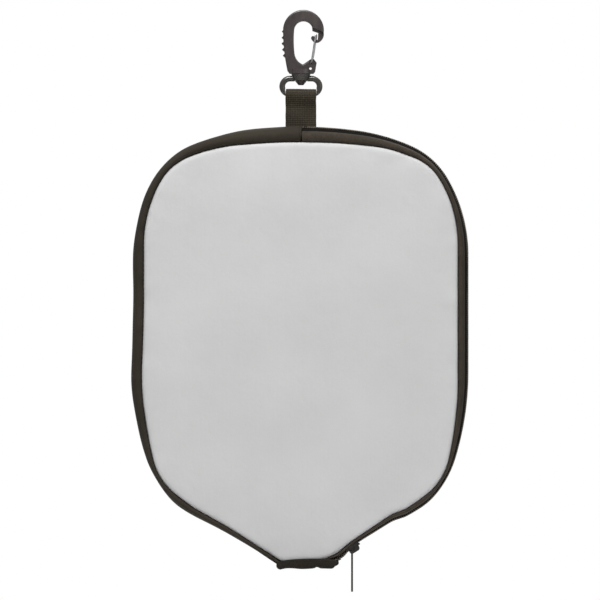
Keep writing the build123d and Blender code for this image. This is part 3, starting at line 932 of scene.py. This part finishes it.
def build_binding(name, side, node):
    """Binding of one lip of the mouth: folded over the edge, arched above, wavy below, ends turned in."""
    middle, half = (LEFT_END + RIGHT_END) / 2, (RIGHT_END - LEFT_END) / 2
    straight = half - END_RADIUS
    distance = np.linspace(-1, 1, BINDING_ROWS) * (straight + END_RADIUS * pi / 2 + END_RETURN)
    place, outward = binding_path(distance, straight)
    x = place[:, 0] + middle
    bulge = np.clip(np.abs(distance) / (straight + END_RADIUS), 0, 1) ** 6
    top = BINDING_TOP + 0.6 * mm - 2.0 * mm * ((x - 8 * mm) / (26 * mm)) ** 2 - 0.7 * mm * bulge
    low = MOUTH + 0.25 * mm * wave(x, 9 * mm, 22 * mm, 61) + 0.35 * mm
    for bump_x, width, height in LOWER_BUMPS:
        low += height * mm * hump(x - bump_x * mm, width * mm)
    low += 1.9 * mm * smooth_step((x - 19.5 * mm) / (5 * mm))
    fold = np.linspace(0, pi, FOLD_POINTS)
    leg = np.arange(LEG_POINTS) / LEG_POINTS
    round_fold = FOLD_RADIUS * (1 - np.cos(fold))
    depth = np.concatenate([np.zeros(LEG_POINTS), round_fold, np.full(LEG_POINTS, 2 * FOLD_RADIUS)])
    bottom = low[:, None] + FOLD_RADIUS * (1 - np.sin(fold))[None]
    rise = (top - low - FOLD_RADIUS)[:, None]
    outer = low[:, None] + FOLD_RADIUS + rise * (1 - leg)[None]
    inner = low[:, None] + FOLD_RADIUS + (rise - HEM_SHORTER) * (leg + 1 / LEG_POINTS)[None]
    z = np.concatenate([outer, bottom, inner], axis=1)
    outside = depth[None] < FOLD_RADIUS
    pillow = 0.35 * mm * np.sin(pi * np.clip((z - low[:, None]) / (top - low)[:, None], 0, 1))
    ripple = 0.2 * mm * wave(distance, 7 * mm, 16 * mm, 67)[:, None]
    inward = depth[None] + outside * (ripple - pillow)
    plan = place[:, None] - outward[:, None] * inward[..., None]
    start = HALF_DEPTH + BINDING_PROUD
    y = CASE_Y + side * (start - plan[..., 1])
    points = np.stack([plan[..., 0] + middle, y, z], axis=2)
    across = lengths_along(points, 1)
    piece = grid(name, points, strip_uvs(distance, across), flip=side > 0)
    thickened(piece, BINDING_THICKNESS, -1)
    finished(piece, binding_finish)
    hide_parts(node)
    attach(piece, "case")
    return points


binding_f_points = build_binding("mouth_binding_f", -1, "mouth_binding_front")
binding_b_points = build_binding("mouth_binding_b", 1, "mouth_binding_back")


# ---- threads
def spaced(path, pitch):
    """Points and directions evenly spaced along a path."""
    run = lengths_along(path, 0)
    middles = np.arange(pitch / 2, run[-1], pitch)
    nearby = 0.1 * mm
    along = sampled(middles + nearby, run, path) - sampled(middles - nearby, run, path)
    return sampled(middles, run, path), along


def sewn(name, paths, outwards, node, body="case", length=2.1 * mm, pitch=STITCH_PITCH):
    """Stitches along one or more paths, as one piece."""
    found = [spaced(np.asarray(path), pitch) for path in paths]
    centres = np.concatenate([centre for centre, _ in found])
    directions = np.concatenate([direction for _, direction in found])
    facing = np.concatenate([np.tile(out, (len(f[0]), 1)) for f, out in zip(found, outwards)])
    piece = stitches(name, centres, directions, facing, length=length)
    finished(piece, thread_finish)
    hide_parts(node)
    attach(piece, body)


def seam_line(side):
    """Bottom of the groove round a face, from the right foot over the top to the left foot."""
    right, normals = face.trace(face.stations(1 * mm))
    keep = right[:, 1] > BINDING_TOP + 1.5 * mm
    line = right[keep] + 0.15 * mm * normals[keep]
    plan = np.concatenate([line[::-1], mirrored(line)[1:]])
    return settled(with_depth(plan, CASE_Y + side * (HALF_DEPTH - EDGE_DROP * 0.78)))


sewn("front_stitches", [seam_line(-1)], [(0, -1, 0)], "front_seam_thread")
sewn("back_stitches", [seam_line(1)], [(0, 1, 0)], "back_seam_thread")

END_ROW_X = -0.9 * mm
end_row = wall_points[2].copy()
end_row[:, 0] = END_ROW_X
end_paths = [end_row[3:13], end_row[13:24], end_row[24:34]]  # the front, crest and back of the wall's section
sewn("wall_end_stitches", end_paths, [(0, -1, 0.2), (0, 0, 1), (0, 1, 0.2)], "gusset_end_thread",
     length=1.5 * mm, pitch=2.2 * mm)


def binding_row(points, column):
    """A line of stitches on the outside of a binding."""
    inside = (points[:, 0, 0] > LEFT_END + 2.5 * mm) & (points[:, 0, 0] < RIGHT_END - 2.5 * mm)
    return points[inside, column]


sewn("mouth_stitches", [binding_row(binding_f_points, 2), binding_row(binding_b_points, 2)],
     [(0, -1, 0), (0, 1, 0)], "mouth_thread", length=1.7 * mm, pitch=2.4 * mm)

tack_low, tack_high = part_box("strap_tack")
tack_y = CASE_Y + HALF_DEPTH - 0.5 * mm
tack_rows = [
    [(tack_low.x, tack_y, z), (tack_high.x, tack_y, z)]
    for z in np.linspace(tack_low.z + 0.6 * mm, tack_high.z, 3)
]
sewn("strap_stitches", tack_rows, [(0, 1, 0.25)] * 3, "strap_tack", length=1.6 * mm, pitch=2.1 * mm)


def zip_tack(name, node):
    """Bar of stitches over the coil, where the CAD's tack is."""
    low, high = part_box(node)
    centre = (low + high) / 2
    at = ((rim_points - np.array([centre.x, centre.z])) ** 2).sum(axis=1).argmin()
    places = sampled(at + np.linspace(-0.7, 0.7, 5), np.arange(len(rim_points)), rim_points)
    rows = [settled([(x, low.y, z), (x, high.y, z)]) for x, z in places]
    facing = [(rim_normals[at, 0], 0, rim_normals[at, 1])] * len(rows)
    sewn(name, rows, facing, node, length=2.0 * mm, pitch=1.9 * mm)


zip_tack("zip_start_stitches", "zip_start_tack")
zip_tack("zip_end_stitches", "zip_end_tack")


# ---- webbing
WEBBING_WIDTH = loop_high.x - loop_low.x
WEBBING_THICKNESS = 1.22 * mm
BAR_Z = loop_high.z - 3.5 * mm
LOOP_RADIUS = loop_high.z - BAR_Z - WEBBING_THICKNESS / 2
JOIN_Z = -57 * mm
STEP_Z = (-72.5 * mm, -75.5 * mm)  # between these heights the webbing steps back behind the wall
STEP_SHARE = 0.62              # share of the way to the tail's back
YARN_RELIEF = 0.16 * mm
WARP_PITCH = 0.8 * WEFT_PITCH


def webbing_line():
    """Middle line (y, z) of the webbing: up from inside the case, round the ring's bar and down again."""
    leg = WEBBING_THICKNESS / 2 + 0.03 * mm
    z = np.arange(tail_low.z + 0.2 * mm, BAR_Z, 0.25 * mm)
    spread = leg + (LOOP_RADIUS - leg) * smooth_step((z - JOIN_Z) / (BAR_Z - JOIN_Z))
    step_back = (tail_high.y - 2 * leg) * STEP_SHARE
    shift = step_back * smooth_step((STEP_Z[0] - z) / (STEP_Z[0] - STEP_Z[1]))
    arch = np.linspace(pi, 0, 40)[1:-1]
    up = np.stack([shift - spread, z], axis=1)
    over = np.stack([LOOP_RADIUS * np.cos(arch), BAR_Z + LOOP_RADIUS * np.sin(arch)], axis=1)
    down = np.stack([shift + spread, z], axis=1)[::-1]
    return np.concatenate([up, over, down])


def build_webbing():
    """Flat webbing folded round the ring and sewn into the case's top seam, with its weave in relief."""
    line = webbing_line()
    run = lengths_along(line, 0)
    even = np.linspace(0, run[-1], round(run[-1] / (0.29 * mm)))
    line = sampled(even, run, line)
    tangent = np.gradient(line, axis=0)
    tangent /= np.linalg.norm(tangent, axis=1, keepdims=True)
    outward = np.stack([-tangent[:, 1], tangent[:, 0]], axis=1)
    across = np.linspace(-1, 1, 81)
    x = across * WEBBING_WIDTH / 2
    weft = np.sin(pi * even / WEFT_PITCH)[:, None]
    warp = np.sin(pi * x / WARP_PITCH)[None, :]
    relief = YARN_RELIEF * np.where(weft * warp > 0, np.abs(weft), np.abs(warp)) - YARN_RELIEF
    selvedge = -0.35 * mm * np.abs(across[None, :]) ** 24
    uneven = 0.12 * mm * wave(even, 9 * mm, 26 * mm, 71)[:, None] * np.sin(2.2 * across)[None, :]
    wander = 0.16 * mm * wave(even, 8 * mm, 30 * mm, 73)
    cover = relief + selvedge
    half = WEBBING_THICKNESS / 2
    skins = []
    for sign in (1, -1):
        offset = sign * (half + cover) + uneven
        y = line[:, 0][:, None] + outward[:, 0][:, None] * offset
        z = line[:, 1][:, None] + outward[:, 1][:, None] * offset
        wide = np.broadcast_to(x[None, :], z.shape) + wander[:, None]
        skins.append(np.stack([wide, y, z], axis=2))
    closed = np.concatenate([skins[0], skins[1][:, ::-1], skins[0][:, :1]], axis=1)
    round_x = np.concatenate([x, x[::-1], x[:1]])
    uvs = np.stack(np.broadcast_arrays(even[:, None], round_x[None, :]), axis=2)
    piece = grid("strap", closed, uvs)
    build = bmesh.new()
    build.from_mesh(piece.data)
    bmesh.ops.remove_doubles(build, verts=build.verts, dist=0.001 * mm)
    bmesh.ops.holes_fill(build, edges=[e for e in build.edges if e.is_boundary])
    bmesh.ops.recalc_face_normals(build, faces=build.faces)
    build.to_mesh(piece.data)
    build.free()
    piece.data.shade_smooth()
    finished(piece, webbing_finish)
    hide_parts("webbing_loop", "webbing_tail")
    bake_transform(piece)


build_webbing()


# ---- hard pieces from the CAD
for node, material in (
    ("hook_body", hook_finish),
    ("swivel_ring", ring_finish),
    ("wire_gate", gate_finish),
    ("slider_body", slider_finish),
    ("slider_cap", slider_finish),
    ("slider_lock_spring", spring_finish),
    ("pull_tab", slider_finish),
):
    coated(nodes[node], material)

# ---- floor, light and camera
FLOOR_Z = cad_box[0].z - 46 * mm
FLOOR_RADIUS = 0.6
FLOOR_SIDES = 128


def build_floor():
    """Round pale floor."""
    turn = np.linspace(0, 2 * pi, FLOOR_SIDES, endpoint=False)
    plan = FLOOR_RADIUS * np.stack([np.cos(turn), np.sin(turn)], axis=1)
    points = np.column_stack([plan, np.full(FLOOR_SIDES, FLOOR_Z)])
    floor = new_object("floor", points, [range(FLOOR_SIDES)], plan)
    m = Finish("floor_paper", {"Specular IOR Level": 0.2})
    tone = m.noise(0.12, 3.0)
    colour = m.mix(tone, shade(236, 236, 236), shade(243, 243, 243))
    floor.data.materials.append(m.done(colour, m.span(tone, 0.8, 0.9)))


def softbox(name, place, target, size, watts):
    """Square area light that faces a point."""
    light = bpy.data.lights.new(name, "AREA")
    light.shape = "SQUARE"
    light.size = size
    light.energy = watts
    lamp = bpy.data.objects.new(name, light)
    bpy.context.scene.collection.objects.link(lamp)
    lamp.location = place
    lamp.rotation_mode = "QUATERNION"
    lamp.rotation_quaternion = (Vector(target) - Vector(place)).to_track_quat("-Z", "Y")


def white_world(seen, lit):
    """White surroundings, brighter to the camera than what they light the object with."""
    world = bpy.data.worlds.new("studio")
    world.use_nodes = True
    tree = world.node_tree
    background = tree.nodes["Background"]
    background.inputs["Color"].default_value = (1, 1, 1, 1)
    path = tree.nodes.new("ShaderNodeLightPath")
    level = tree.nodes.new("ShaderNodeMapRange")
    level.inputs["To Min"].default_value = lit
    level.inputs["To Max"].default_value = seen
    tree.links.new(path.outputs["Is Camera Ray"], level.inputs["Value"])
    tree.links.new(level.outputs[0], background.inputs["Strength"])
    bpy.context.scene.world = world


build_floor()
white_world(seen=1.0, lit=0.37)
PICTURE_Z = -182 * mm
centre = Vector((0, CASE_Y, PICTURE_Z))
softbox("key_above", (-0.12, -0.55, 0.85), centre, 0.6, 16.5)
softbox("fill_right", (1.1, -0.7, 0.1), centre, 0.8, 2.0)
softbox("rim_behind", (0.3, 0.9, 0.6), centre, 0.7, 6.0)
bpy.context.scene.view_settings.view_transform = "Standard"

CAMERA_X = -0.6 * mm
CAMERA_DISTANCE = 3.0
FRAME_WIDTH = 0.390
SENSOR_WIDTH = 36
camera_data = bpy.data.cameras.new("camera")
camera_data.sensor_width = SENSOR_WIDTH
camera_data.lens = SENSOR_WIDTH * CAMERA_DISTANCE / FRAME_WIDTH
camera = bpy.data.objects.new("camera", camera_data)
bpy.context.scene.collection.objects.link(camera)
camera.location = (CAMERA_X, CASE_Y - HALF_DEPTH - CAMERA_DISTANCE, centre.z)
camera.rotation_euler = (pi / 2, 0, 0)
bpy.context.scene.camera = camera
